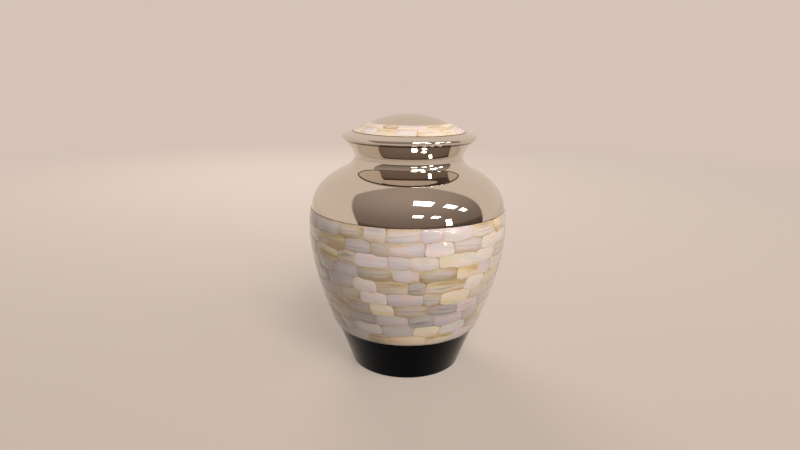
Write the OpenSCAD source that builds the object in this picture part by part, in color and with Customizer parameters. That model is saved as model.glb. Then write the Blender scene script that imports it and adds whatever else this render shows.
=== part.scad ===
// Cremation urn: a spun, mirror-plated brass jar with a wide band of
// mother-of-pearl round its belly, and a lift-off lid with a pearl ring
// round its low dome. Everything is turned about the Z axis. The origin
// is the centre of the base, on the surface that the urn stands on.

/* [Jar] */
// Diameter over the pearl at the widest point
belly_d = 178; // [150:1:230]
// Height of the widest point
belly_z = 131; // [105:1:165]
// Diameter of the base, to its sharp corner
base_d = 101; // [80:1:125]
// Outward lean of the wall at the base, in degrees
base_lean = 19; // [5:0.5:30]
// Height of the shoulder above the widest point
shoulder_h = 50.8; // [38:0.2:65]
// Diameter where the shoulder runs into the neck
neck_root_d = 114; // [100:1:130]
// Inward lean of the shoulder at the neck, in degrees
shoulder_lean = 64; // [50:1:78]
// Thickness of the spun sheet
wall = 1.5; // [1:0.1:2.5]

/* [Base] */
// Radius of the turned corner at the edge of the base
base_edge_r = 1.5; // [0.5:0.1:3]
// Width of the ring that the urn stands on
base_ring_w = 7; // [4:0.5:12]
// Height of the dished middle of the underside
base_dish_h = 2.5; // [1:0.1:5]
// Radius of the inside corner between the floor and the wall
floor_corner_r = 4; // [1:0.5:8]

/* [Neck] */
// Diameter of the throat, the narrowest part of the neck
throat_d = 97; // [80:1:108]
// Height of the throat above the end of the shoulder
throat_rise = 9.6; // [7:0.2:16]
// Diameter of the rim
rim_d = 114.4; // [106:0.2:138]
// Height of the rim above the throat
rim_rise = 15.4; // [10:0.2:24]
// Outward lean of the neck at the rim, in degrees
rim_lean = 36; // [20:1:50]

/* [Pearl band] */
// Height of the band's lower edge
band_z = 39.5; // [25:0.5:60]
// Height of the band's upper edge above the widest point
band_rise = 17; // [4:1:26]
// Thickness of the band: tiles and the resin under them
band_t = 2; // [1.2:0.1:3]
// How far the band stands out from the shoulder above it
band_proud = 0.5; // [0.2:0.1:1]
// Radius of the band's rounded lower lip
band_lip_r = 1.8; // [0.4:0.1:2.8]

/* [Lid] */
// Overhang of the lid beyond the rim
lid_overhang = 2.2; // [0.5:0.1:4]
// Radius of the rolled bead round the lid
bead_r = 2.4; // [1.8:0.1:3.5]
// Width of the flat seat under the bead
seat_w = 2.4; // [1.5:0.1:3.5]
// Width of the plain metal between the pearl ring and the centre of the bead
flange_w = 7; // [4:0.5:12]
// Slope of that plain metal, in degrees
flange_slope = 18; // [5:1:30]
// Width of the pearl ring, seen from above
ring_w = 15.8; // [10:0.2:20]
// Slope of the pearl ring, in degrees
ring_slope = 25.4; // [15:0.2:35]
// Thickness of the pearl ring
ring_t = 1.5; // [1:0.1:2]
// How far the pearl ring stands out from the metal beside it
ring_proud = 0.3; // [0.1:0.1:0.6]
// Thickness of the lid's sheet
lid_wall = 1.8; // [1.2:0.1:2.5]
// Length of the skirt that plugs the neck
skirt_len = 17; // [10:0.5:24]
// Thickness of the skirt
skirt_t = 1.8; // [1.2:0.1:2.5]
// Clearance between the skirt and the throat
skirt_gap = 0.5; // [0.3:0.1:1]

/* [Smoothness] */
// Pieces in each long curve of a profile
curve_steps = 16; // [10:1:30]
// Pieces in each small rounding of a profile
round_steps = 6; // [4:1:10]

/* [Hidden] */
$fn = 96;

// How full each curve is: its handles as shares of the straight distance
belly_fullness = 0.33;
shoulder_fullness = 0.45;
neck_fullness = 0.34;
flare_fullness = 0.3;

METAL = [0.83, 0.79, 0.74];
PEARL = [0.90, 0.86, 0.82];

// Points are [radius, height]. A lean is measured outwards from upright.
seat_step = band_t - band_proud;
wall_line_r = belly_d / 2 - band_t;
shoulder_line_r = belly_d / 2 - band_proud;
shoulder_z = belly_z + shoulder_h;
throat_z = shoulder_z + throat_rise;
rim_z = throat_z + rim_rise;
band_top_z = belly_z + band_rise;
base_corner = [base_d / 2, 0];
neck_root = [neck_root_d / 2, shoulder_z];
throat = [throat_d / 2, throat_z];
rim = [rim_d / 2, rim_z];

bead_centre = [rim_d / 2 + lid_overhang - bead_r, rim_z + bead_r];
bead_top = bead_centre + bead_r * [sin(flange_slope), cos(flange_slope)];
ring_outer_r = bead_centre[0] - flange_w;
ring_inner_r = ring_outer_r - ring_w;
ring_outer = [ring_outer_r, bead_top[1] + (bead_top[0] - ring_outer_r) * tan(flange_slope)];
ring_inner = [ring_inner_r, ring_outer[1] + ring_w * tan(ring_slope)];
dome_r = ring_inner_r / sin(ring_slope);
dome_centre_z = ring_inner[1] - dome_r * cos(ring_slope);
skirt_r = throat_d / 2 - wall - skirt_gap;

// ---- Curves ----

function unit(v) = v / norm(v);
function leaning(lean) = [sin(lean), cos(lean)];

// A curve from one point to another that leaves and arrives at given leans
function curve(from, lean_from, to, lean_to, fullness) =
    let (pull = fullness * norm(to - from))
    [from, from + pull * leaning(lean_from), to - pull * leaning(lean_to), to];

function at(c, t) =
    pow(1 - t, 3) * c[0] + 3 * pow(1 - t, 2) * t * c[1]
    + 3 * (1 - t) * t * t * c[2] + pow(t, 3) * c[3];

function heading(c, t) =
    unit(pow(1 - t, 2) * (c[1] - c[0]) + 2 * (1 - t) * t * (c[2] - c[1])
         + t * t * (c[3] - c[2]));

// A point on the curve, moved outwards by out, square to the wall
function off(c, t, out) =
    let (h = heading(c, t)) at(c, t) + out * [h[1], -h[0]];

// Where a rising curve, moved outwards by out, passes the height z
function t_at(c, out, z, low = 0, high = 1, tries = 30) =
    let (mid = (low + high) / 2)
    tries == 0 ? mid
    : off(c, mid, out)[1] < z ? t_at(c, out, z, mid, high, tries - 1)
    : t_at(c, out, z, low, mid, tries - 1);

function run(c, out, t_from, t_to, steps = curve_steps) =
    [for (i = [0 : steps]) off(c, t_from + (t_to - t_from) * i / steps, out)];

// The corner b of the path a, b, c, rounded to the radius r
function rounded(a, b, c, r) =
    let (u = unit(a - b), v = unit(c - b),
         half = acos(u * v) / 2,
         centre = b + unit(u + v) * r / sin(half),
         s = b + u * r / tan(half) - centre,
         e = b + v * r / tan(half) - centre,
         start = atan2(s[1], s[0]),
         turn = (atan2(e[1], e[0]) - start + 540) % 360 - 180)
    [for (i = [0 : round_steps])
        centre + r * [cos(start + turn * i / round_steps), sin(start + turn * i / round_steps)]];

function arc(centre, r, from, to, steps) =
    [for (i = [0 : steps])
        let (a = from + (to - from) * i / steps) centre + r * [cos(a), sin(a)]];

// The wall under the pearl, the shoulder, the root of the neck and its flare
wall_curve = curve(base_corner, base_lean, [wall_line_r, belly_z], 0, belly_fullness);
shoulder_curve =
    curve([shoulder_line_r, belly_z], 0, neck_root, -shoulder_lean, shoulder_fullness);
root_curve = curve(neck_root, -shoulder_lean, throat, 0, neck_fullness);
flare_curve = curve(throat, 0, rim, rim_lean, flare_fullness);

band_bottom_t = t_at(wall_curve, 0, band_z);
band_top_t = t_at(shoulder_curve, 0, band_top_z);
ledge_t = t_at(shoulder_curve, -wall, band_top_z + wall);
rim_inner_t = t_at(flare_curve, -wall, rim_z);

// The face that the jar and the pearl band share, from the bottom up
seat = concat(
    run(wall_curve, 0, band_bottom_t, 1),
    run(shoulder_curve, -seat_step, 0.05, band_top_t, round_steps)
);

// ---- Pieces ----

// The jar: one spun vessel, open at the rim, hollow, with a seat rolled
// into its belly for the pearl band and a dished base
module jar() {
    dish_r = base_d / 2 - base_ring_w;
    floor_z = base_dish_h + wall;
    edge = rounded([0, 0], base_corner, at(wall_curve, 0.03), base_edge_r);
    edge_t = t_at(wall_curve, 0, edge[round_steps][1] + 0.2);
    corner_t = t_at(wall_curve, -wall, floor_z);
    floor_corner = off(wall_curve, corner_t, -wall);
    above_corner = off(wall_curve, corner_t + 0.05, -wall);
    corner = rounded(above_corner, floor_corner, [0, floor_z], floor_corner_r);
    floor_t = t_at(wall_curve, -wall, corner[0][1] + 0.3);
    profile = concat(
        [[0, base_dish_h], [dish_r - 2 * base_dish_h, base_dish_h], [dish_r, 0]],
        edge,
        run(wall_curve, 0, edge_t, band_bottom_t - 0.02, round_steps),
        seat,
        run(shoulder_curve, 0, band_top_t, 1),
        run(root_curve, 0, 0.1, 1, round_steps),
        run(flare_curve, 0, 0.1, 1, round_steps),
        run(flare_curve, -wall, rim_inner_t, 0, round_steps),
        run(root_curve, -wall, 0.9, 0, round_steps),
        run(shoulder_curve, -wall, 0.95, ledge_t),
        run(shoulder_curve, -wall - seat_step, ledge_t, 0, round_steps),
        run(wall_curve, -wall, 0.95, floor_t),
        corner,
        [[0, floor_z]]
    );
    color(METAL) rotate_extrude() polygon(profile);
}

// The pearl band: tiles bedded in resin, a skin that fills the seat
module pearl_band() {
    inner_foot = seat[0];
    outer_foot = off(wall_curve, band_bottom_t, band_t);
    above_foot = off(wall_curve, band_bottom_t + 0.05, band_t);
    lip = rounded(above_foot, outer_foot, inner_foot, min(band_lip_r, band_t - 0.2));
    lip_t = t_at(wall_curve, band_t, lip[0][1] + 0.2);
    profile = concat(
        seat,
        run(shoulder_curve, band_proud, band_top_t, 0, round_steps),
        run(wall_curve, band_t, 0.95, lip_t),
        lip
    );
    color(PEARL) rotate_extrude() polygon(profile);
}

// The lid: one turned cap with a low dome, a shallow seat for its pearl
// ring, a rolled bead that rests on the rim and a skirt that plugs the neck
module lid() {
    down = [sin(ring_slope), cos(ring_slope)];
    recess = ring_t - ring_proud;
    under_ring = lid_wall + recess;
    inner_dome_r = dome_r - under_ring;
    skirt_in_r = skirt_r - skirt_t;
    // Under the pearl ring the inside is parallel to the ring
    inside_z = function (r) ring_outer[1] - under_ring / cos(ring_slope)
        + (ring_outer_r - r) * tan(ring_slope);
    // Under the plain flange the inside is parallel to the flange
    flange_in_z = function (r) ring_outer[1] - under_ring / cos(flange_slope)
        - (r - ring_outer_r) * tan(flange_slope);
    groove_r = bead_centre[0] - seat_w;
    profile = concat(
        arc([0, dome_centre_z], dome_r, 90, 90 - ring_slope, curve_steps),
        [ring_inner - recess * down, ring_outer - recess * down, ring_outer],
        arc(bead_centre, bead_r, 90 - flange_slope, -90, 2 * round_steps),
        [
            [groove_r, rim_z],
            [groove_r, flange_in_z(groove_r)],
            [skirt_r, flange_in_z(skirt_r)],
            [skirt_r, rim_z - skirt_len],
            [skirt_in_r, rim_z - skirt_len],
            [skirt_in_r, inside_z(skirt_in_r)],
        ],
        arc([0, dome_centre_z], inner_dome_r, 90 - ring_slope, 90, curve_steps)
    );
    color(METAL) rotate_extrude() polygon(profile);
}

// The lid's pearl ring, a skin in the shallow seat round the dome
module lid_pearl_ring() {
    down = [sin(ring_slope), cos(ring_slope)];
    recess = ring_t - ring_proud;
    profile = [
        ring_inner - recess * down,
        ring_outer - recess * down,
        ring_outer + ring_proud * down,
        ring_inner + ring_proud * down,
    ];
    color(PEARL) rotate_extrude() polygon(profile);
}

jar();
pearl_band();
lid();
lid_pearl_ring();
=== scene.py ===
import math

import bmesh
import bpy
from mathutils import Matrix


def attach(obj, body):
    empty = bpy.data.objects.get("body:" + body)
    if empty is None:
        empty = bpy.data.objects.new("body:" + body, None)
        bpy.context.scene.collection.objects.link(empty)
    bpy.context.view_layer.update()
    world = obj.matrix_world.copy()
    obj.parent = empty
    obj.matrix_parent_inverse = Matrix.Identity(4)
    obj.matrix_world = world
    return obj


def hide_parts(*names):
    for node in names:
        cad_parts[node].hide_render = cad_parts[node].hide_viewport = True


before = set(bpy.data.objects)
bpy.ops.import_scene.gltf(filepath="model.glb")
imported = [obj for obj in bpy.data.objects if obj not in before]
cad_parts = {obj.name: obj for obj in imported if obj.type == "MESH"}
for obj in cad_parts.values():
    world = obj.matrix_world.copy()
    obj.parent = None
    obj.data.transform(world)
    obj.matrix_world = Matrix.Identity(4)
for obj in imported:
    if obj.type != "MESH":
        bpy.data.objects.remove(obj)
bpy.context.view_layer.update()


# ---- Jar ----
# The vessel is one sheet of brass, spun over a former into base, foot, belly, shoulder and
# flared neck, then nickel plated and buffed to a mirror. Lengths are in millimetres, profile
# points are (radius, height), and a lean is measured outwards from upright.
BELLY_R, BELLY_Z = 89, 131
BASE_R, BASE_LEAN = 50.5, 19
NECK_ROOT = (57, 181.8)
THROAT = (48.5, 191.4)
RIM = (57.2, 206.8)
SHOULDER_LEAN, RIM_LEAN = 64, 36
BELLY_FULL, SHOULDER_FULL, NECK_FULL, FLARE_FULL = 0.33, 0.45, 0.34, 0.3
SHEET = 1.5
STAND_W, DISH_H, EDGE_R, FLOOR_CORNER_R = 7, 2.5, 1.5, 4
BAND_Z, BAND_TOP_Z, BAND_T, BAND_PROUD = 39.5, 148, 2, 0.5
FACETS = 192
# An edge that turns further than this stays crisp
CRISP = math.radians(32)


def curve(start, lean_from, end, lean_to, fullness):
    """Four control points of a curve that leaves and arrives at given leans."""
    pull = fullness * math.dist(start, end)
    a, b = math.radians(lean_from), math.radians(lean_to)
    return [
        start,
        (start[0] + pull * math.sin(a), start[1] + pull * math.cos(a)),
        (end[0] - pull * math.sin(b), end[1] - pull * math.cos(b)),
        end,
    ]


def off(c, t, out):
    """The point at t on a curve, moved outwards square to the wall."""
    s = 1 - t
    place = (s**3, 3 * s * s * t, 3 * s * t * t, t**3)
    r, z = (sum(w * p[i] for w, p in zip(place, c)) for i in (0, 1))
    slope = (s * s, 2 * s * t, t * t)
    dr, dz = (sum(w * (q[i] - p[i]) for w, p, q in zip(slope, c, c[1:])) for i in (0, 1))
    size = math.hypot(dr, dz)
    return r + out * dz / size, z - out * dr / size


def t_at(c, out, z):
    """Where a rising curve, moved outwards, passes a height."""
    low, high = 0.0, 1.0
    for _ in range(40):
        mid = (low + high) / 2
        low, high = (mid, high) if off(c, mid, out)[1] < z else (low, mid)
    return low


def run(c, out, t_from, t_to, steps):
    """Points along a curve. out may be a number or a function of how far along it is."""
    points = []
    for i in range(steps + 1):
        t = t_from + (t_to - t_from) * i / steps
        points.append(off(c, t, out(t) if callable(out) else out))
    return points


def rounded(a, b, c, r, steps=8):
    """The corner b of the path a, b, c, turned to a radius."""
    ua = [(p - q) / math.dist(a, b) for p, q in zip(a, b)]
    uc = [(p - q) / math.dist(c, b) for p, q in zip(c, b)]
    half = math.acos(ua[0] * uc[0] + ua[1] * uc[1]) / 2
    mid = [ua[0] + uc[0], ua[1] + uc[1]]
    reach = r / math.sin(half) / math.hypot(*mid)
    centre = [b[0] + mid[0] * reach, b[1] + mid[1] * reach]
    leg = r / math.tan(half)
    start = math.atan2(b[1] + ua[1] * leg - centre[1], b[0] + ua[0] * leg - centre[0])
    end = math.atan2(b[1] + uc[1] * leg - centre[1], b[0] + uc[0] * leg - centre[0])
    turn = (end - start + 3 * math.pi) % (2 * math.pi) - math.pi
    angles = [start + turn * i / steps for i in range(steps + 1)]
    return [(centre[0] + r * math.cos(v), centre[1] + r * math.sin(v)) for v in angles]


def spin(name, profile, loop=False):
    """A turned mesh from a profile in millimetres. A point on the axis becomes a pole."""
    made = bpy.data.meshes.new(name)
    form = bmesh.new()
    angles = [2 * math.pi * i / FACETS for i in range(FACETS)]
    rings = []
    for r, z in profile:
        if r < 1e-6:
            rings.append([form.verts.new((0, 0, z / 1000))])
            continue
        rings.append([
            form.verts.new((r / 1000 * math.cos(v), r / 1000 * math.sin(v), z / 1000))
            for v in angles
        ])
    for lower, upper in zip(rings, rings[1:] + (rings[:1] if loop else [])):
        if len(lower) == len(upper) == 1:
            continue
        for i in range(FACETS):
            k = (i + 1) % FACETS
            corners = [lower[i % len(lower)], lower[k % len(lower)],
                       upper[k % len(upper)], upper[i % len(upper)]]
            form.faces.new(list(dict.fromkeys(corners)))
    bmesh.ops.recalc_face_normals(form, faces=form.faces)
    form.to_mesh(made)
    form.free()
    made.shade_smooth()
    made.set_sharp_from_angle(angle=CRISP)
    piece = bpy.data.objects.new(name, made)
    bpy.context.scene.collection.objects.link(piece)
    return piece


def paint(code):
    """A colour written as sRGB hex, as linear light with an alpha of 1."""
    parts = [int(code[i : i + 2], 16) / 255 for i in (1, 3, 5)]
    return (*[p / 12.92 if p <= 0.04045 else ((p + 0.055) / 1.055) ** 2.4 for p in parts], 1)


def patches(size):
    """The scale of a pattern whose patches are so many millimetres across."""
    return 1000 / size


def new_finish(name):
    """A material with an empty node tree, and that tree."""
    finish = bpy.data.materials.new(name)
    finish.use_nodes = True
    finish.node_tree.nodes.clear()
    return finish, finish.node_tree


def add(tree, kind, *values, named=None, **settings):
    """Adds a node. Values go to its live sockets in order: a node or socket is linked, the rest set."""
    made = tree.nodes.new(kind)
    for key, value in settings.items():
        setattr(made, key, value)
    live = [s for s in made.inputs if s.enabled]
    for socket, value in [*zip(live, values), *((made.inputs[k], v) for k, v in (named or {}).items())]:
        if isinstance(value, bpy.types.Node):
            value = next(o for o in value.outputs if o.enabled)
        if isinstance(value, bpy.types.NodeSocket):
            tree.links.new(value, socket)
        elif value is not None:
            socket.default_value = value
    return made


# Bright nickel plate over buffed brass: nearly a mirror, a little warm, with the slow swells
# that a spinning tool leaves and a faint haze from handling and wiping.
nickel, tree = new_finish("buffed nickel plate")
place = add(tree, "ShaderNodeTexCoord").outputs["Object"]
# The haze lies in soft patches about 25 mm across
haze = add(tree, "ShaderNodeTexNoise", place, patches(25), 3, 0.55)
haze_depth = add(tree, "ShaderNodeMapRange", haze, 0.3, 0.8, 0.015, 0.04)
tone = add(tree, "ShaderNodeMix", haze, paint("#E4DED5"), paint("#DDD4C8"), data_type="RGBA")
# Tool marks run round the piece: bands 3 mm wide, drawn far coarser than the real ones
height = add(tree, "ShaderNodeSeparateXYZ", place).outputs["Z"]
marks = add(tree, "ShaderNodeMath", height, patches(3), operation="MULTIPLY")
marks = add(tree, "ShaderNodeTexNoise", marks, 1, 2, 0.5, noise_dimensions="1D")
# A millimetre on each side of the crease under the lid is painted dark: painted shade of the gap where the
# lid meets the rim
crease_shade = add(tree, "ShaderNodeMath", height, RIM[1] / 1000, operation="SUBTRACT")
crease_shade = add(tree, "ShaderNodeMath", crease_shade, operation="ABSOLUTE")
crease_shade = add(tree, "ShaderNodeMapRange", crease_shade, 0.0004, 0.0011, 0.85, 0.0)
tone = add(tree, "ShaderNodeMix", crease_shade, tone.outputs[2], paint("#3A302A"), data_type="RGBA")
# The swells are about 36 mm across
swell = add(tree, "ShaderNodeTexNoise", place, patches(35.7), 1, 0.4)
relief = add(tree, "ShaderNodeMath", marks, 0.005, swell, operation="MULTIPLY_ADD")
bump = add(tree, "ShaderNodeBump", named={"Strength": 0.3, "Distance": 0.0001, "Height": relief})
shader = add(tree, "ShaderNodeBsdfPrincipled",
             named={"Base Color": tone.outputs[2], "Metallic": 1.0, "Roughness": haze_depth, "Normal": bump})
add(tree, "ShaderNodeOutputMaterial", shader)

# The foot below the pearl: the same buffed nickel, still a clear mirror, but its colour is painted
# near-black and faintly blue, a painted reflection of dark shaded ground under the belly.
painted_dark_foot, tree = new_finish("smoked black nickel")
place = add(tree, "ShaderNodeTexCoord").outputs["Object"]
haze = add(tree, "ShaderNodeTexNoise", place, patches(25), 3, 0.55)
haze_depth = add(tree, "ShaderNodeMapRange", haze, 0.3, 0.8, 0.03, 0.09)
tone = add(tree, "ShaderNodeMix", haze, paint("#10151B"), paint("#0C1015"), data_type="RGBA")
shader = add(tree, "ShaderNodeBsdfPrincipled",
             named={"Base Color": tone.outputs[2], "Metallic": 1.0, "Roughness": haze_depth})
add(tree, "ShaderNodeOutputMaterial", shader)

wall_curve = curve((BASE_R, 0), BASE_LEAN, (BELLY_R - BAND_T, BELLY_Z), 0, BELLY_FULL)
shoulder_curve = curve((BELLY_R - BAND_PROUD, BELLY_Z), 0, NECK_ROOT, -SHOULDER_LEAN, SHOULDER_FULL)
root_curve = curve(NECK_ROOT, -SHOULDER_LEAN, THROAT, 0, NECK_FULL)
flare_curve = curve(THROAT, 0, RIM, RIM_LEAN, FLARE_FULL)
band_foot_t = t_at(wall_curve, 0, BAND_Z)
band_top_t = t_at(shoulder_curve, 0, BAND_TOP_Z)
ledge_t = t_at(shoulder_curve, -SHEET, BAND_TOP_Z + SHEET)
seat_step = BAND_T - BAND_PROUD
seat = run(wall_curve, 0, band_foot_t, 1, 20) + run(shoulder_curve, -seat_step, 0.05, band_top_t, 8)

# Each run of points starts or stops a little short of the next, so that no two points crowd
edge = rounded((0, 0), (BASE_R, 0), off(wall_curve, 0.03, 0), EDGE_R)
edge_t = t_at(wall_curve, 0, edge[-1][1] + 0.2)
dish_r, floor_z = BASE_R - STAND_W, DISH_H + SHEET
floor_t = t_at(wall_curve, -SHEET, floor_z)
corner = rounded(off(wall_curve, floor_t + 0.05, -SHEET), off(wall_curve, floor_t, -SHEET),
                 (0, floor_z), FLOOR_CORNER_R)
inner_foot_t = t_at(wall_curve, -SHEET, corner[0][1] + 0.3)
jar = spin("jar_vessel", [
    (0, DISH_H), (dish_r - 2 * DISH_H, DISH_H), (dish_r, 0),
    *edge,
    *run(wall_curve, 0, edge_t, band_foot_t - 0.02, 24),
    *seat,
    *run(shoulder_curve, 0, band_top_t, 1, 44),
    *run(root_curve, 0, 0.05, 1, 20),
    *run(flare_curve, 0, 0.05, 1, 20),
    *run(flare_curve, -SHEET, t_at(flare_curve, -SHEET, RIM[1]), 0, 8),
    *run(root_curve, -SHEET, 0.9, 0, 8),
    *run(shoulder_curve, -SHEET, 0.95, ledge_t, 14),
    *run(shoulder_curve, -SHEET - seat_step, ledge_t, 0, 8),
    *run(wall_curve, -SHEET, 0.95, inner_foot_t, 16),
    *corner,
    (0, floor_z),
])
jar.data.materials.append(nickel)
jar.data.materials.append(painted_dark_foot)
# The painted dark reflection stops at the foot of the band's seat
for face in jar.data.polygons:
    face.material_index = 1 if face.center.z < (BAND_Z - 0.1) / 1000 else 0
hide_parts("jar")
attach(jar, "root")


# ---- Resin bed of the pearl band ----
# The tiles are set in tinted polyester resin that fills the seat round the belly and shows as
# thin tan joints between them. It is poured, turned flush and lacquered with the tiles.
JOINT_DEPTH, EDGE_JOINT = 0.18, 0.5
LIP_R, RUBBED_FROM, RUBBED_DOWN = 1.7, 0.47, 0.42

resin, tree = new_finish("tinted polyester resin")
place = add(tree, "ShaderNodeTexCoord").outputs["Object"]
# Dust and glue darken the joints to a pinkish brown in patches of about 15 mm
stain = add(tree, "ShaderNodeTexNoise", place, patches(15.4), 3, 0.6)
stain = add(tree, "ShaderNodeMapRange", stain, 0.46, 0.64, 0.0, 1.0)
tan = add(tree, "ShaderNodeMix", stain, paint("#D6C2AC"), paint("#946F58"), data_type="RGBA")
shader = add(tree, "ShaderNodeBsdfPrincipled",
             named={"Base Color": tan.outputs[2], "Roughness": 0.4, "Coat Weight": 0.6,
                    "Coat Roughness": 0.08})
add(tree, "ShaderNodeOutputMaterial", shader)

# The narrow strip of resin where it meets the metal is painted dark brown: a painted shade line along the
# step between pearl and metal
painted_shade_line, tree = new_finish("resin caked with polish")
place = add(tree, "ShaderNodeTexCoord").outputs["Object"]
# Its painted shade varies in lengths of about 8 mm
shade_line_patches = add(tree, "ShaderNodeTexNoise", place, patches(8.3), 2, 0.5)
shade_line_patches = add(tree, "ShaderNodeMapRange", shade_line_patches, 0.35, 0.65, 0.0, 1.0)
shade_line_tone = add(tree, "ShaderNodeMix", shade_line_patches, paint("#3A2C22"), paint("#6B553E"), data_type="RGBA")
shader = add(tree, "ShaderNodeBsdfPrincipled",
             named={"Base Color": shade_line_tone.outputs[2], "Roughness": 0.6, "Specular IOR Level": 0.3})
add(tree, "ShaderNodeOutputMaterial", shader)


def band_face(depth, belly_steps=48, shoulder_steps=24):
    """The face of the band from its rounded lower lip to its top edge, sunk by a depth."""
    out = BAND_T - depth
    foot, above = off(wall_curve, band_foot_t, out), off(wall_curve, band_foot_t + 0.05, out)
    lip = rounded(above, foot, off(wall_curve, band_foot_t, 0), LIP_R)[::-1]
    lip_t = t_at(wall_curve, out, lip[-1][1] + 0.2)

    def eased(t):
        """The top 9 mm is rubbed down until it lies almost level with the metal."""
        near = max(0, (t / band_top_t - RUBBED_FROM) / (1 - RUBBED_FROM))
        return BAND_PROUD - RUBBED_DOWN * near**2 - depth

    return lip, (run(wall_curve, out, lip_t, 0.98, belly_steps)
                 + run(shoulder_curve, eased, 0, band_top_t, shoulder_steps))


def just_short(points, gap):
    """The path with its end drawn back by a gap."""
    (r, z), (end_r, end_z) = points[-2:]
    share = 1 - gap / math.dist((r, z), (end_r, end_z))
    return points[:-1] + [(r + (end_r - r) * share, z + (end_z - z) * share)]


lip, face = band_face(JOINT_DEPTH)
top_joint = just_short(face, EDGE_JOINT)[-1]
bed = spin("band_resin", [*seat, face[-1], top_joint, *face[-2::-1], *lip[::-1]], loop=True)
bed.data.materials.append(resin)
bed.data.materials.append(painted_shade_line)
# The painted shade line is the narrow strip above the topmost slips
for edge_face in bed.data.polygons:
    edge_face.material_index = 1 if edge_face.center.z > top_joint[1] / 1000 else 0
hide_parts("pearl_band")
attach(bed, "root")


# ---- Pearl tiles of the band ----
# Slips of mother-of-pearl about 24 mm long, sawn from river shell and laid by hand in ten
# courses like bricks. Their tapered ends lock into the course above and below. Lengths here are
# in metres, and a Course Spread under 1 makes the upper courses narrower.
SLIP = {"Courses": 10, "Course Spread": 1.0, "Tile Length": 0.0245, "Joint Width": 0.0002,
        "Edge Round": 0.00014, "Tile Depth": 0.0004, "Joint Wander": 0.5, "Taper Rise": 0.0009,
        "Taper Length": 0.0040, "Slant": 0.0010, "Line Wave": 0.0011, "Seed": 7}

SLIP_CRISP = math.radians(20)
# About half the length and half the width of a slip, in millimetres, by which its grain is laid
GRAIN_HALF = (11.5, 5.6)
# Slips and joints are numbered from 0 in the first course, from 1000 in the next, and so on
COURSE_STEP = 1000
# A course starts up to this share of a slip away from an even half
COURSE_SHIFT = 0.14
# Far enough apart in the noise for each line and each slip to have a pattern of its own
LINE_APART, SLIP_APART = 7.3, 17.3
LEAN_SEED = 31

# One slip before it is laid: x and y run from -1 to 1, z is 1 at the middle of its face and 0 at
# its sunk edge. Rubbing down wears the rim of the face lower by a share of its depth, and the
# corners are nipped off by a share of the half length and of the half width.
columns, rows, worn, nipped = 8, 4, 0.15, (0.03, 0.07)
block = bpy.data.meshes.new("slip_blank")
form = bmesh.new()
top = []
for k in range(rows + 1):
    v = 2 * k / rows - 1
    across = [2 * i / columns - 1 for i in range(columns + 1)]
    top.append([
        form.verts.new((u - u * nipped[0] * (u * v)**6, v - v * nipped[1] * (u * v)**6,
                        1 - worn * (u**4 + v * v)))
        for u in across
    ])
for k in range(rows):
    for i in range(columns):
        form.faces.new((top[k][i], top[k][i + 1], top[k + 1][i + 1], top[k + 1][i]))
rim_line = (top[0] + [row[-1] for row in top[1:-1]] + top[-1][::-1]
            + [row[0] for row in top[-2:0:-1]])
low = [form.verts.new((v.co.x, v.co.y, 0)) for v in rim_line]
for i in range(len(low)):
    k = (i + 1) % len(low)
    form.faces.new((rim_line[k], rim_line[i], low[i], low[k]))
form.faces.new(low[::-1])
bmesh.ops.recalc_face_normals(form, faces=form.faces)
form.to_mesh(block)
form.free()
blank = bpy.data.objects.new("slip_blank", block)


def new_group(name, inputs, outputs):
    """An empty Geometry Nodes group with named sockets, and its input and output nodes."""
    group = bpy.data.node_groups.new(name, "GeometryNodeTree")
    for side, sockets in (("INPUT", inputs), ("OUTPUT", outputs)):
        for label, kind in sockets.items():
            group.interface.new_socket(label, in_out=side, socket_type="NodeSocket" + kind)
    return group, group.nodes.new("NodeGroupInput").outputs, group.nodes.new("NodeGroupOutput")


# How many slips fit round a course, and how wide each then is
count_group, given, result = new_group(
    "Slips In Course",
    {"Profile": "Geometry", "Courses": "Float", "Course Spread": "Float", "Tile Length": "Float",
     "Course": "Float"},
    {"Count": "Float", "Width": "Float"})
g = count_group
length = add(g, "GeometryNodeCurveLength", given["Profile"])
middle = add(g, "ShaderNodeMath", given["Course"], 0.5, operation="ADD")
share = add(g, "ShaderNodeMath", middle, given["Courses"], operation="DIVIDE", use_clamp=True)
share = add(g, "ShaderNodeMath", share, given["Course Spread"], operation="POWER")
along = add(g, "ShaderNodeMath", share, length, operation="MULTIPLY")
spot = add(g, "GeometryNodeSampleCurve", given["Profile"], None, along, mode="LENGTH", use_all_curves=True)
radius = add(g, "ShaderNodeSeparateXYZ", spot.outputs["Position"]).outputs["X"]
round_it = add(g, "ShaderNodeMath", radius, 2 * math.pi, operation="MULTIPLY")
count = add(g, "ShaderNodeMath", round_it, given["Tile Length"], operation="DIVIDE")
count = add(g, "ShaderNodeMath", count, operation="ROUND")
width = add(g, "ShaderNodeMath", round_it, count, operation="DIVIDE")
g.links.new(count.outputs[0], result.inputs["Count"])
g.links.new(width.outputs[0], result.inputs["Width"])

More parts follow.
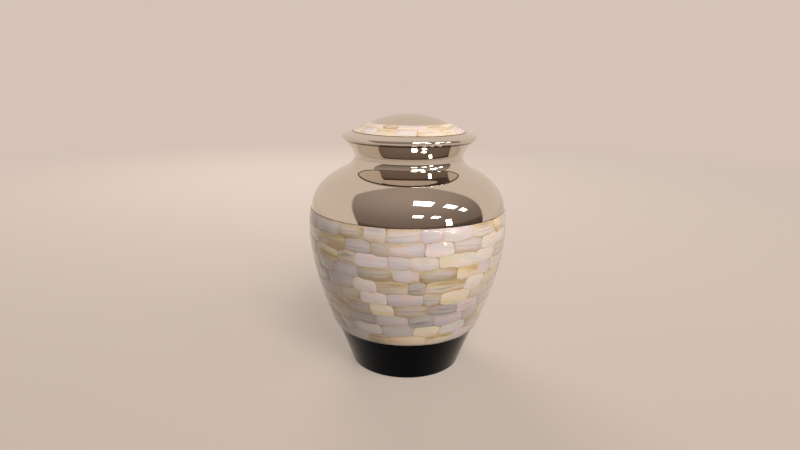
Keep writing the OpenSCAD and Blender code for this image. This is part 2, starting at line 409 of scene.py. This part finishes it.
# Where a joint stands in its course, in slips from the start, with the layer's uneven hand
joint_group, given, result = new_group(
    "Joint Place",
    {"Course": "Float", "Joint": "Float", "Count": "Float", "Joint Wander": "Float", "Seed": "Int"},
    {"Place": "Float", "Shift": "Float"})
g = joint_group
which = add(g, "ShaderNodeMath", given["Joint"], given["Count"], operation="FLOORED_MODULO")
which = add(g, "ShaderNodeMath", given["Course"], COURSE_STEP, which, operation="MULTIPLY_ADD")
far = add(g, "ShaderNodeMath", given["Joint Wander"], 0.5, operation="MULTIPLY")
near = add(g, "ShaderNodeMath", far, -1, operation="MULTIPLY")
jitter = add(g, "FunctionNodeRandomValue", near, far, which, given["Seed"], data_type="FLOAT")
half = add(g, "ShaderNodeMath", given["Course"], 2, operation="FLOORED_MODULO")
shift = add(g, "FunctionNodeRandomValue", -COURSE_SHIFT, COURSE_SHIFT, given["Course"], given["Seed"],
            data_type="FLOAT")
shift = add(g, "ShaderNodeMath", half, 0.5, shift, operation="MULTIPLY_ADD")
joint_place = add(g, "ShaderNodeMath", given["Joint"], shift, operation="ADD")
joint_place = add(g, "ShaderNodeMath", joint_place, jitter, operation="ADD")
g.links.new(joint_place.outputs[0], result.inputs["Place"])
g.links.new(shift.outputs[0], result.inputs["Shift"])

# How far a place round the urn lies from the nearest joint of a course, in metres
reach_group, given, result = new_group(
    "Joint Reach",
    {"Profile": "Geometry", "Courses": "Float", "Course Spread": "Float", "Tile Length": "Float",
     "Joint Wander": "Float", "Seed": "Int", "Course": "Float", "Turn": "Float"},
    {"Reach": "Float"})
g = reach_group
slips = add(g, "GeometryNodeGroup", given["Profile"], given["Courses"], given["Course Spread"],
            given["Tile Length"], given["Course"], node_tree=count_group)
start = add(g, "GeometryNodeGroup", given["Course"], 0.0, slips, given["Joint Wander"], given["Seed"],
            node_tree=joint_group)
here = add(g, "ShaderNodeMath", given["Turn"], slips, operation="MULTIPLY")
here = add(g, "ShaderNodeMath", here, start.outputs["Shift"], operation="SUBTRACT")
before = add(g, "ShaderNodeMath", here, operation="FLOOR")
after = add(g, "ShaderNodeMath", before, 1.0, operation="ADD")
here = add(g, "ShaderNodeMath", here, start.outputs["Shift"], operation="ADD")
gaps = []
for side in (before, after):
    joint = add(g, "GeometryNodeGroup", given["Course"], side, slips, given["Joint Wander"], given["Seed"],
                node_tree=joint_group)
    gap = add(g, "ShaderNodeMath", here, joint, operation="SUBTRACT")
    gaps.append(add(g, "ShaderNodeMath", gap, operation="ABSOLUTE"))
gap = add(g, "ShaderNodeMath", *gaps, operation="MINIMUM")
gap = add(g, "ShaderNodeMath", gap, slips.outputs["Width"], operation="MULTIPLY")
g.links.new(gap.outputs[0], result.inputs["Reach"])

# The line between two courses, as a length up the profile. It waves a little, rises into the
# notch at a joint above and dips at a joint below
line_group, given, result = new_group(
    "Course Line",
    {"Profile": "Geometry", "Courses": "Float", "Course Spread": "Float", "Tile Length": "Float",
     "Joint Wander": "Float", "Seed": "Int", "Taper Rise": "Float", "Taper Length": "Float",
     "Line Wave": "Float", "Line": "Float", "Turn": "Float"},
    {"Length": "Float"})
g = line_group
total = add(g, "GeometryNodeCurveLength", given["Profile"])
share = add(g, "ShaderNodeMath", given["Line"], given["Courses"], operation="DIVIDE", use_clamp=True)
share = add(g, "ShaderNodeMath", share, given["Course Spread"], operation="POWER")
level = add(g, "ShaderNodeMath", share, total, operation="MULTIPLY")
below = add(g, "ShaderNodeMath", given["Line"], 1.0, operation="SUBTRACT")
pulls = []
for course in (given["Line"], below):
    reach = add(g, "GeometryNodeGroup", given["Profile"], given["Courses"], given["Course Spread"],
                given["Tile Length"], given["Joint Wander"], given["Seed"], course, given["Turn"],
                node_tree=reach_group)
    near = add(g, "ShaderNodeMapRange", reach, 0.0, given["Taper Length"], 1.0, 0.0)
    pulls.append(near)
pull = add(g, "ShaderNodeMath", *pulls, operation="SUBTRACT")
pull = add(g, "ShaderNodeMath", pull, given["Taper Rise"], operation="MULTIPLY")
angle = add(g, "ShaderNodeMath", given["Turn"], 2 * math.pi, operation="MULTIPLY")
ring_x = add(g, "ShaderNodeMath", angle, operation="COSINE")
ring_y = add(g, "ShaderNodeMath", angle, operation="SINE")
ring_z = add(g, "ShaderNodeMath", given["Line"], LINE_APART, operation="MULTIPLY")
spot = add(g, "ShaderNodeCombineXYZ", ring_x, ring_y, ring_z)
# Twenty cells of noise go round the urn. Noise swings about a quarter each way, so four times as
# much is the full wave
wave = add(g, "ShaderNodeTexNoise", spot, 3.2, 1.0, 0.5, noise_dimensions="3D")
wave = add(g, "ShaderNodeMath", wave, 0.5, operation="SUBTRACT")
wave = add(g, "ShaderNodeMath", wave, given["Line Wave"], operation="MULTIPLY")
wave = add(g, "ShaderNodeMath", wave, 4.0, pull, operation="MULTIPLY_ADD")
# The first and last lines are the edges of the band and stay true
not_first = add(g, "ShaderNodeMath", given["Line"], 0.5, operation="GREATER_THAN")
last = add(g, "ShaderNodeMath", given["Courses"], 0.5, operation="SUBTRACT")
not_last = add(g, "ShaderNodeMath", given["Line"], last, operation="LESS_THAN")
free = add(g, "ShaderNodeMath", not_first, not_last, operation="MULTIPLY")
level = add(g, "ShaderNodeMath", wave, free, level, operation="MULTIPLY_ADD")
g.links.new(level.outputs[0], result.inputs["Length"])

# Lays the slips: counts them out, sets each between its two joints and its two course lines,
# and bends it to the profile
tiles_group, given, result = new_group(
    "Laid Pearl Slips",
    {"Geometry": "Geometry", "Courses": "Int", "Course Spread": "Float", "Tile Length": "Float",
     "Joint Width": "Float", "Edge Round": "Float", "Tile Depth": "Float", "Joint Wander": "Float",
     "Taper Rise": "Float", "Taper Length": "Float", "Slant": "Float", "Line Wave": "Float",
     "Seed": "Int", "Blank": "Object", "Material": "Material"},
    {"Geometry": "Geometry"})
g = tiles_group
profile = add(g, "GeometryNodeMeshToCurve", given["Geometry"])
starts = add(g, "GeometryNodeMeshLine", given["Courses"], named={"Offset": (0, 0, 0)})
index = add(g, "GeometryNodeInputIndex")
starts = add(g, "GeometryNodeStoreNamedAttribute", starts, True, "course", index,
             data_type="FLOAT", domain="POINT")
slips = add(g, "GeometryNodeGroup", profile, given["Courses"], given["Course Spread"],
            given["Tile Length"], index, node_tree=count_group)
copies = add(g, "GeometryNodeDuplicateElements", starts, True, slips, domain="POINT")
spots = add(g, "GeometryNodeStoreNamedAttribute", copies.outputs["Geometry"], True, "joint",
            copies.outputs["Duplicate Index"], data_type="FLOAT", domain="POINT")
shape = add(g, "GeometryNodeObjectInfo", given["Blank"])
laid = add(g, "GeometryNodeInstanceOnPoints", spots, named={"Instance": shape.outputs["Geometry"]})
laid = add(g, "GeometryNodeRealizeInstances", laid)

course = add(g, "GeometryNodeInputNamedAttribute", "course", data_type="FLOAT")
joint = add(g, "GeometryNodeInputNamedAttribute", "joint", data_type="FLOAT")
cell = add(g, "ShaderNodeSeparateXYZ", add(g, "GeometryNodeInputPosition"))
u, v, face_on = cell.outputs
slips = add(g, "GeometryNodeGroup", profile, given["Courses"], given["Course Spread"],
            given["Tile Length"], course, node_tree=count_group)
# How far this point stands in from the joint's middle: half the joint, and the rounding on top
inset = add(g, "ShaderNodeMath", given["Joint Width"], 0.5, operation="MULTIPLY")
inset = add(g, "ShaderNodeMath", face_on, given["Edge Round"], inset, operation="MULTIPLY_ADD")
ends = []
for step, side in ((0.0, 1.0), (1.0, -1.0)):
    number = add(g, "ShaderNodeMath", joint, step, operation="ADD")
    place = add(g, "GeometryNodeGroup", course, number, slips, given["Joint Wander"], given["Seed"],
                node_tree=joint_group)
    wrapped = add(g, "ShaderNodeMath", number, slips, operation="FLOORED_MODULO")
    label = add(g, "ShaderNodeMath", course, COURSE_STEP, wrapped, operation="MULTIPLY_ADD")
    lean_seed = add(g, "ShaderNodeMath", given["Seed"], LEAN_SEED, operation="ADD")
    lean = add(g, "FunctionNodeRandomValue", -1.0, 1.0, label, lean_seed, data_type="FLOAT")
    lean = add(g, "ShaderNodeMath", lean, given["Slant"], operation="MULTIPLY")
    lean = add(g, "ShaderNodeMath", lean, v, operation="MULTIPLY")
    shifted = add(g, "ShaderNodeMath", inset, side, lean, operation="MULTIPLY_ADD")
    shifted = add(g, "ShaderNodeMath", shifted, slips.outputs["Width"], operation="DIVIDE")
    ends.append(add(g, "ShaderNodeMath", place, shifted, operation="ADD"))
across = add(g, "ShaderNodeMapRange", u, -1.0, 1.0, *ends, clamp=False)
turn = add(g, "ShaderNodeMath", across, slips, operation="DIVIDE")
lines = []
for step, side in ((0.0, 1.0), (1.0, -1.0)):
    number = add(g, "ShaderNodeMath", course, step, operation="ADD")
    line = add(g, "GeometryNodeGroup", profile, given["Courses"], given["Course Spread"],
               given["Tile Length"], given["Joint Wander"], given["Seed"], given["Taper Rise"],
               given["Taper Length"], given["Line Wave"], number, turn, node_tree=line_group)
    lines.append(add(g, "ShaderNodeMath", inset, side, line, operation="MULTIPLY_ADD"))
along = add(g, "ShaderNodeMapRange", v, -1.0, 1.0, *lines, clamp=False)
spot = add(g, "GeometryNodeSampleCurve", profile, None, along, mode="LENGTH", use_all_curves=True)
up = add(g, "ShaderNodeSeparateXYZ", spot.outputs["Tangent"])
away = add(g, "ShaderNodeCombineXYZ", up.outputs["Z"], 0.0,
           add(g, "ShaderNodeMath", up.outputs["X"], -1.0, operation="MULTIPLY"))
sunk = add(g, "ShaderNodeMath", face_on, 1.0, operation="SUBTRACT")
sunk = add(g, "ShaderNodeMath", sunk, given["Tile Depth"], operation="MULTIPLY")
away = add(g, "ShaderNodeVectorMath", away, named={"Scale": sunk}, operation="SCALE")
spot = add(g, "ShaderNodeVectorMath", spot.outputs["Position"], away, operation="ADD")
angle = add(g, "ShaderNodeMath", turn, 2 * math.pi, operation="MULTIPLY")
spot = add(g, "ShaderNodeVectorRotate", named={"Vector": spot.outputs[0], "Angle": angle},
           rotation_type="Z_AXIS")

# Each slip carries its own tone, its grain in millimetres and its place from end to end
label = add(g, "ShaderNodeMath", course, COURSE_STEP, joint, operation="MULTIPLY_ADD")
tone = add(g, "FunctionNodeRandomValue", (0, 0, 0), (1, 1, 1), label, given["Seed"],
           data_type="FLOAT_VECTOR")
grain_u = add(g, "ShaderNodeMath", u, GRAIN_HALF[0], operation="MULTIPLY")
grain_v = add(g, "ShaderNodeMath", v, GRAIN_HALF[1], operation="MULTIPLY")
grain_w = add(g, "ShaderNodeMath", label, SLIP_APART, operation="MULTIPLY")
grain = add(g, "ShaderNodeCombineXYZ", grain_u, grain_v, grain_w)
cell_place = add(g, "ShaderNodeCombineXYZ", u, v, face_on)
for label, value in (("slip_tone", tone), ("slip_grain", grain), ("slip_place", cell_place)):
    laid = add(g, "GeometryNodeStoreNamedAttribute", laid, True, label, value,
               data_type="FLOAT_VECTOR", domain="POINT")
laid = add(g, "GeometryNodeSetPosition", laid, named={"Position": spot})
laid = add(g, "GeometryNodeSetMaterial", laid, named={"Material": given["Material"]})
g.links.new(laid.outputs[0], result.inputs["Geometry"])


def lay_slips(name, profile, sizes, material):
    """Slips laid on a profile, from its foot to its top, as one plain mesh."""
    line = bpy.data.meshes.new(name + "_line")
    line.from_pydata([(r / 1000, 0, z / 1000) for r, z in profile],
                     [(i, i + 1) for i in range(len(profile) - 1)], [])
    laid = bpy.data.objects.new(name, line)
    bpy.context.scene.collection.objects.link(laid)
    work = laid.modifiers.new("slips", "NODES")
    work.node_group = tiles_group
    inputs = {**sizes, "Blank": blank, "Material": material}
    for item in tiles_group.interface.items_tree:
        if item.in_out == "INPUT" and item.name in inputs:
            work[item.identifier] = inputs[item.name]
    seen = laid.evaluated_get(bpy.context.evaluated_depsgraph_get())
    plain = bpy.data.meshes.new_from_object(seen)
    laid.modifiers.clear()
    laid.data = plain
    plain.shade_smooth()
    plain.set_sharp_from_angle(angle=SLIP_CRISP)
    return laid


# Mother-of-pearl: thin layers of shell that give a milky body colour, streaks along the
# growth lines and a soft deep sheen, all under clear lacquer rubbed to a high gloss.
pearl, tree = new_finish("lacquered mother-of-pearl")
tone = add(tree, "ShaderNodeSeparateXYZ",
           add(tree, "ShaderNodeAttribute", attribute_name="slip_tone").outputs["Vector"])
grain = add(tree, "ShaderNodeAttribute", attribute_name="slip_grain").outputs["Vector"]
place = add(tree, "ShaderNodeSeparateXYZ",
            add(tree, "ShaderNodeAttribute", attribute_name="slip_place").outputs["Vector"])
# Growth lines run nearly straight along the slip, broad ones about 7 mm apart and fine ones
# about 2.4 mm apart
askew = add(tree, "ShaderNodeVectorMath", grain, (0.022, 0.14, 0.35), operation="MULTIPLY")
streak = add(tree, "ShaderNodeTexNoise", askew, 1.0, 1.0, 0.5)
fine = add(tree, "ShaderNodeVectorMath", grain, (0.02, 0.42, 0.6), operation="MULTIPLY")
fine = add(tree, "ShaderNodeTexNoise", fine, 1.0, 1.5, 0.5)
drift = add(tree, "ShaderNodeMapRange", streak, 0.3, 0.7, -0.2, 0.2)
body = add(tree, "ShaderNodeMath", tone.outputs["X"], drift, operation="ADD", use_clamp=True)
ramp = add(tree, "ShaderNodeValToRGB", body)
shades = ((0.0, "#CABDC3"), (0.3, "#DDD0D2"), (0.52, "#E6D9D1"), (0.72, "#EAD7BF"),
          (0.87, "#E7D1A6"), (0.96, "#D8BC88"), (1.0, "#C2A16C"))
while len(ramp.color_ramp.elements) < len(shades):
    ramp.color_ramp.elements.new(0.5)
for stop, (where, code) in zip(ramp.color_ramp.elements, shades):
    stop.position, stop.color = where, paint(code)
# Clouds of rose and green, about 17 mm long and 10 mm wide, run through every slip
cloud = add(tree, "ShaderNodeVectorMath", grain, (0.06, 0.1, 0.9), operation="MULTIPLY")
cloud = add(tree, "ShaderNodeTexNoise", cloud, 1.0, 1.0, 0.5)
rose = add(tree, "ShaderNodeMapRange", cloud, 0.5, 0.68, 0.0, 0.55)
body = add(tree, "ShaderNodeMix", rose, ramp, paint("#EBC5B6"), data_type="RGBA")
green = add(tree, "ShaderNodeMapRange", cloud, 0.48, 0.32, 0.0, 0.5)
body = add(tree, "ShaderNodeMix", green, body.outputs[2], paint("#D0CAAE"), data_type="RGBA")
# The thick middle of a slip is the whitest, with a touch of rose
crown_u = add(tree, "ShaderNodeMath", place.outputs["X"], 4.0, operation="POWER")
crown_v = add(tree, "ShaderNodeMath", place.outputs["Y"], 2.0, operation="POWER")
crown = add(tree, "ShaderNodeMath", crown_u, crown_v, operation="ADD")
heart = add(tree, "ShaderNodeMath", streak, 1.2, crown, operation="MULTIPLY_ADD")
heart = add(tree, "ShaderNodeMapRange", heart, 0.5, 1.4, 1.0, 0.0)
some = add(tree, "ShaderNodeMapRange", tone.outputs["Z"], 0.15, 0.9, 0.0, 0.8)
heart = add(tree, "ShaderNodeMath", heart, some, operation="MULTIPLY")
body = add(tree, "ShaderNodeMix", heart, body.outputs[2], paint("#E8DDDD"), data_type="RGBA")
# Some slips show grey-brown growth lines
some = add(tree, "ShaderNodeMapRange", tone.outputs["Y"], 0.62, 0.95, 0.0, 0.9)
lines = add(tree, "ShaderNodeMapRange", fine, 0.5, 0.72, 0.0, 1.0)
lines = add(tree, "ShaderNodeMath", lines, some, operation="MULTIPLY")
middle = add(tree, "ShaderNodeMath", place.outputs["X"], operation="ABSOLUTE")
middle = add(tree, "ShaderNodeMapRange", middle, 0.25, 0.95, 1.0, 0.1)
lines = add(tree, "ShaderNodeMath", lines, middle, operation="MULTIPLY")
body = add(tree, "ShaderNodeMix", lines, body.outputs[2], paint("#968D8D"), data_type="RGBA")
# A few are two thin slivers laid as one, with a slanting tan line between them
tilt = add(tree, "ShaderNodeMath", tone.outputs["Y"], 0.5, operation="SUBTRACT")
tilt = add(tree, "ShaderNodeMath", tilt, place.outputs["X"], operation="MULTIPLY")
seam = add(tree, "ShaderNodeMath", place.outputs["Y"], tilt, operation="SUBTRACT")
seam = add(tree, "ShaderNodeMath", seam, operation="ABSOLUTE")
seam = add(tree, "ShaderNodeMapRange", seam, 0.02, 0.16, 0.45, 0.0)
some = add(tree, "ShaderNodeMath", tone.outputs["Z"], 0.78, operation="GREATER_THAN")
seam = add(tree, "ShaderNodeMath", seam, some, operation="MULTIPLY")
body = add(tree, "ShaderNodeMix", seam, body.outputs[2], paint("#BFA57A"), data_type="RGBA")
# The long sawn edges of some slips keep an uneven strip of the golden outer shell
side = add(tree, "ShaderNodeMath", place.outputs["Y"], operation="ABSOLUTE")
side = add(tree, "ShaderNodeMath", cloud, 1.6, side, operation="MULTIPLY_ADD")
side = add(tree, "ShaderNodeMapRange", side, 1.4, 2.1, 0.0, 0.9)
end = add(tree, "ShaderNodeMath", place.outputs["X"], operation="ABSOLUTE")
end = add(tree, "ShaderNodeMath", streak, 0.5, end, operation="MULTIPLY_ADD")
end = add(tree, "ShaderNodeMapRange", end, 1.1, 1.35, 0.0, 0.35)
end = add(tree, "ShaderNodeMath", end, side, operation="MAXIMUM")
some = add(tree, "ShaderNodeMapRange", tone.outputs["Z"], 0.2, 0.9, 0.05, 1.0)
end = add(tree, "ShaderNodeMath", end, some, operation="MULTIPLY", use_clamp=True)
body = add(tree, "ShaderNodeMix", end, body.outputs[2], paint("#CCB07C"), data_type="RGBA")
# Each slip's layers lie at their own slight slope, so the sheen changes from slip to slip
slope = add(tree, "ShaderNodeVectorMath",
            add(tree, "ShaderNodeCombineXYZ", tone.outputs["Y"], tone.outputs["Z"], 0.5), (0.5, 0.5, 0.5),
            operation="SUBTRACT")
slope = add(tree, "ShaderNodeVectorMath", slope, grain, operation="DOT_PRODUCT")
# The lacquer rounds each slip a little further, and dips where it crosses a joint
slope = add(tree, "ShaderNodeMath", slope.outputs["Value"], 0.0003, operation="MULTIPLY")
relief = add(tree, "ShaderNodeMath", fine, 0.0001, slope, operation="MULTIPLY_ADD")
relief = add(tree, "ShaderNodeMath", crown, -0.0001, relief, operation="MULTIPLY_ADD")
bump = add(tree, "ShaderNodeBump", named={"Strength": 1.0, "Distance": 1.0, "Height": relief})
relief = add(tree, "ShaderNodeMath", slope, 0.9, operation="MULTIPLY")
relief = add(tree, "ShaderNodeMath", crown, -0.0006, relief, operation="MULTIPLY_ADD")
gloss = add(tree, "ShaderNodeBump", named={"Strength": 1.0, "Distance": 1.0, "Height": relief})
shader = add(tree, "ShaderNodeBsdfPrincipled",
             named={"Base Color": body.outputs[2], "Roughness": 0.28, "Metallic": 0.15,
                    "IOR": 1.53, "Coat Weight": 1.0, "Coat Roughness": 0.08, "Coat IOR": 1.5,
                    "Normal": bump, "Coat Normal": gloss})
add(tree, "ShaderNodeOutputMaterial", shader)

# The lowest slips start half-way round the lip
lip, face = band_face(0)
slips = lay_slips("band_slips", lip[4:] + just_short(face, EDGE_JOINT), SLIP, pearl)
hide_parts("pearl_band")
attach(slips, "root")


# ---- Lid ----
# The cap is turned from thicker brass and plated like the jar: a low dome, a sloping flange
# and a rolled bead that rests on the rim, with a skirt inside that plugs the neck.
OVERHANG, BEAD_R, BEAD_SEAT_W = 2.2, 2.4, 2.4
FLANGE_W, RING_W = 7, 15.8
FLANGE_SLOPE, RING_SLOPE = math.radians(18), math.radians(25.4)
RING_T, RING_PROUD, LID_SHEET = 1.5, 0.3, 1.8
SKIRT_LENGTH, SKIRT_T, SKIRT_GAP = 17, 1.8, 0.5

bead_centre = (RIM[0] + OVERHANG - BEAD_R, RIM[1] + BEAD_R)
bead_top = (bead_centre[0] + BEAD_R * math.sin(FLANGE_SLOPE),
            bead_centre[1] + BEAD_R * math.cos(FLANGE_SLOPE))
outer_r = bead_centre[0] - FLANGE_W
ring_outer = (outer_r, bead_top[1] + (bead_top[0] - outer_r) * math.tan(FLANGE_SLOPE))
ring_inner = (outer_r - RING_W, ring_outer[1] + RING_W * math.tan(RING_SLOPE))
dome_r = ring_inner[0] / math.sin(RING_SLOPE)
dome_z = ring_inner[1] - dome_r * math.cos(RING_SLOPE)


def arc(centre, r, start, end, steps):
    """Points round part of a circle, none of them past the axis."""
    angles = [start + (end - start) * i / steps for i in range(steps + 1)]
    return [(max(0, centre[0] + r * math.cos(v)), centre[1] + r * math.sin(v)) for v in angles]


def straight(a, b, steps):
    """Points along a straight line, with both its ends."""
    return [(a[0] + (b[0] - a[0]) * i / steps, a[1] + (b[1] - a[1]) * i / steps) for i in range(steps + 1)]


def over_ring(point, height):
    """A point lifted square to the slope of the pearl ring."""
    return point[0] + height * math.sin(RING_SLOPE), point[1] + height * math.cos(RING_SLOPE)


recess = RING_T - RING_PROUD
under = LID_SHEET + recess
skirt_r, skirt_foot = THROAT[0] - SHEET - SKIRT_GAP, RIM[1] - SKIRT_LENGTH
skirt_in = skirt_r - SKIRT_T
groove_r = bead_centre[0] - BEAD_SEAT_W
inside_z = ring_outer[1] - under / math.cos(RING_SLOPE) + (outer_r - skirt_in) * math.tan(RING_SLOPE)
flange_z = [ring_outer[1] - under / math.cos(FLANGE_SLOPE) - (r - outer_r) * math.tan(FLANGE_SLOPE)
            for r in (groove_r, skirt_r)]
quarter = math.pi / 2
lid = spin("lid_cap", [
    *arc((0, dome_z), dome_r, quarter, quarter - RING_SLOPE, 36),
    over_ring(ring_inner, -recess), over_ring(ring_outer, -recess),
    *straight(ring_outer, bead_top, 6)[:-1],
    *arc(bead_centre, BEAD_R, quarter - FLANGE_SLOPE, -quarter, 24),
    (groove_r, RIM[1]), (groove_r, flange_z[0]), (skirt_r, flange_z[1]),
    (skirt_r, skirt_foot), (skirt_in, skirt_foot), (skirt_in, inside_z),
    *arc((0, dome_z), dome_r - under, quarter - RING_SLOPE, quarter, 16),
])
lid.data.materials.append(nickel)
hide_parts("lid")
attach(lid, "root")


# ---- Pearl ring of the lid ----
# A shallow turned seat round the dome, filled with the same resin and two courses of the same
# slips, the upper one cut narrower.
ring_joint = just_short([ring_inner, ring_outer], EDGE_JOINT)[-1]
ring_bed = spin("lid_ring_resin", [
    over_ring(ring_inner, -recess), over_ring(ring_outer, -recess),
    *[over_ring(p, RING_PROUD - JOINT_DEPTH) for p in (ring_outer, ring_joint, ring_inner)],
], loop=True)
ring_bed.data.materials.append(resin)
ring_bed.data.materials.append(painted_shade_line)
# Its outer edge carries the same painted shade line as the top of the band
for edge_face in ring_bed.data.polygons:
    edge_face.material_index = 1 if math.hypot(*edge_face.center[:2]) > ring_joint[0] / 1000 else 0
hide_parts("lid_pearl_ring")
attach(ring_bed, "root")

RING_SLIP = {**SLIP, "Courses": 2, "Course Spread": 0.72, "Tile Length": 0.020, "Taper Rise": 0.001,
             "Taper Length": 0.003, "Slant": 0.0012, "Line Wave": 0.0003, "Seed": 5}
foot, head = over_ring(ring_joint, RING_PROUD), over_ring(ring_inner, RING_PROUD)
ring_slips = lay_slips("lid_ring_slips", straight(foot, head, 12), RING_SLIP, pearl)
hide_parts("lid_pearl_ring")
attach(ring_slips, "root")


# ---- Floor ----
# A plain sheet of pale matt card that the urn stands on, cut wide enough to run out of every
# view.
FLOOR_HALF = 30
made = bpy.data.meshes.new("floor")
made.from_pydata([(x * FLOOR_HALF, y * FLOOR_HALF, 0) for x, y in ((-1, -1), (1, -1), (1, 1), (-1, 1))],
                 [], [(0, 1, 2, 3)])
floor = bpy.data.objects.new("floor", made)
bpy.context.scene.collection.objects.link(floor)
card, tree = new_finish("matt pale card")
# The eye and a polished face see the pale card; it throws little light back up at the urn
bounced = add(tree, "ShaderNodeLightPath").outputs["Is Diffuse Ray"]
place = add(tree, "ShaderNodeTexCoord").outputs["Object"]
# It is toned paler towards the back, where less light falls
back = add(tree, "ShaderNodeSeparateXYZ", place).outputs["Y"]
back = add(tree, "ShaderNodeMapRange", back, -0.3, 1.6, 0.0, 1.0)
pale = add(tree, "ShaderNodeMix", back, paint("#A1958B"), paint("#EADED3"), data_type="RGBA")
pale = add(tree, "ShaderNodeMix", bounced, pale.outputs[2], paint("#35322F"), data_type="RGBA")
shader = add(tree, "ShaderNodeBsdfDiffuse", pale.outputs[2])
# Nearly half its tone is even near the urn, and all of it far off, so it meets the wall unseen
even = add(tree, "ShaderNodeMix", bounced, paint("#D4C3B6"), paint("#000000"), data_type="RGBA")
even = add(tree, "ShaderNodeEmission", even.outputs[2], 1.0)
reach = add(tree, "ShaderNodeVectorMath", place, operation="LENGTH").outputs["Value"]
reach = add(tree, "ShaderNodeMapRange", reach, 0.3, 1.8, 0.45, 1.0)
shader = add(tree, "ShaderNodeMixShader", reach, shader, even)
add(tree, "ShaderNodeOutputMaterial", shader)
# It is a backdrop and not a lamp
card.cycles.emission_sampling = "NONE"
made.materials.append(card)


# ---- Light ----
# Soft light from above, from flat ceiling panels and a pale room. What looks at the room
# straight or in a polished face sees its warm pale walls, dimmer on the open side.
world = bpy.data.worlds.new("room")
bpy.context.scene.world = world
world.use_nodes = True
tree = world.node_tree
tree.nodes.clear()
way_out = add(tree, "ShaderNodeTexCoord").outputs["Generated"]
way = add(tree, "ShaderNodeSeparateXYZ", way_out)
rays = add(tree, "ShaderNodeLightPath")
# The open side of the room: dim low down, paler towards the ceiling
room = add(tree, "ShaderNodeValToRGB", way.outputs["Z"])
shades = ((0.0, "#4E3F38"), (0.13, "#5E4E46"), (0.17, "#7C6B61"), (0.45, "#897970"), (1.0, "#AD9B8F"))
while len(room.color_ramp.elements) < len(shades):
    room.color_ramp.elements.new(0.5)
for stop, (where, code) in zip(room.color_ramp.elements, shades):
    stop.position, stop.color = where, paint(code)
# The near wall stands behind the urn and another to its left; both meet the ceiling in a line
sides = []
for facing in ((-0.06, 1.0, -0.25), (-0.6, 0.8, -0.64)):
    side = add(tree, "ShaderNodeVectorMath", way_out, facing, operation="DOT_PRODUCT")
    sides.append(side.outputs["Value"])
wall = add(tree, "ShaderNodeMath", *sides, operation="MAXIMUM")
wall = add(tree, "ShaderNodeMapRange", wall, -0.02, 0.03, 0.0, 1.0)
walls = add(tree, "ShaderNodeMix", wall, room, paint("#DCCBBD"), data_type="RGBA")
seen = add(tree, "ShaderNodeMix", rays.outputs["Is Camera Ray"], walls.outputs[2], paint("#D4C3B6"),
           data_type="RGBA")
shown = add(tree, "ShaderNodeMath", rays.outputs["Is Camera Ray"], rays.outputs["Is Glossy Ray"],
            operation="MAXIMUM")
shown = add(tree, "ShaderNodeMath", shown, rays.outputs["Is Transmission Ray"], operation="MAXIMUM")
# The room's own light falls mostly from above and from the right
fall = add(tree, "ShaderNodeMapRange", way.outputs["Z"], 0.05, 0.6, 0.0, 0.72)
cross = add(tree, "ShaderNodeMapRange", way.outputs["X"], -0.8, 0.8, 0.26, 0.78)
glow = add(tree, "ShaderNodeMath", fall, cross, operation="MULTIPLY")
zenith = add(tree, "ShaderNodeMapRange", way.outputs["Z"], 0.5, 0.95, 1.0, 0.0)
glow = add(tree, "ShaderNodeMath", glow, zenith, operation="MULTIPLY")
glow = add(tree, "ShaderNodeVectorMath", (1.0, 0.98, 0.96), named={"Scale": glow}, operation="SCALE")
lit = add(tree, "ShaderNodeMix", shown, glow.outputs[0], seen.outputs[2], data_type="RGBA")
add(tree, "ShaderNodeOutputWorld", add(tree, "ShaderNodeBackground", lit.outputs[2]))

# (place, width, depth, brightness, turn) of each lamp, in metres and degrees. Five lie flat in
# the ceiling and one stands upright like a window. The last two are soft boxes before and
# behind the urn that polished faces don't show.
ROOM_LAMPS = 6
for number, (where, wide, deep, bright, turned) in enumerate((
    ((0.47, -0.81, 1.85), 0.60, 0.42, 9.5, (0, 0, 0)),
    ((1.64, -0.82, 1.85), 0.66, 0.36, 11, (0, 0, 0)),
    ((2.84, -0.80, 1.85), 0.72, 0.36, 13, (0, 0, 0)),
    ((0.64, -2.85, 1.85), 0.62, 0.50, 14, (0, 0, 0)),
    ((1.92, -2.85, 1.85), 0.62, 0.50, 14, (0, 0, 0)),
    ((3.08, -2.80, 1.14), 0.50, 0.80, 9, (90, 0, 48)),
    ((0.50, -1.27, 1.42), 0.80, 0.80, 14.8, (46, 0, 22)),
    ((-0.45, 1.25, 1.10), 0.80, 0.80, 10.5, (-52, 0, 20)),
)):
    lamp = bpy.data.lights.new(f"lamp_{number}", "AREA")
    lamp.shape = "RECTANGLE"
    lamp.size, lamp.size_y = wide, deep
    lamp.color = paint("#FFFAF4")[:3]
    lamp.energy = wide * deep * math.pi * bright
    holder = bpy.data.objects.new(lamp.name, lamp)
    holder.location = where
    holder.rotation_euler = [math.radians(v) for v in turned]
    holder.visible_glossy = number < ROOM_LAMPS
    holder.visible_camera = False
    bpy.context.scene.collection.objects.link(holder)


# ---- Camera ----
# It stands a little above the lid, half a metre off, and looks slightly down at the urn. The
# angles are in radians, and the lens is given for a sensor 36 mm wide.
SIDEWAYS, DOWN, TILT = -0.013, 0.2593, 0.0133
lens = bpy.data.cameras.new("camera")
lens.lens, lens.sensor_width = 26.587, 36
lens.clip_start, lens.clip_end = 0.01, 200
camera = bpy.data.objects.new("camera", lens)
camera.matrix_world = (
    Matrix.Translation((0, -0.5251, 0.2671))
    @ Matrix.Rotation(-SIDEWAYS, 4, "Z")
    @ Matrix.Rotation(math.pi / 2 - DOWN, 4, "X")
    @ Matrix.Rotation(TILT, 4, "Z")
)
bpy.context.scene.collection.objects.link(camera)
bpy.context.scene.camera = camera
bpy.context.scene.view_settings.view_transform = "Standard"

bpy.context.view_layer.update()
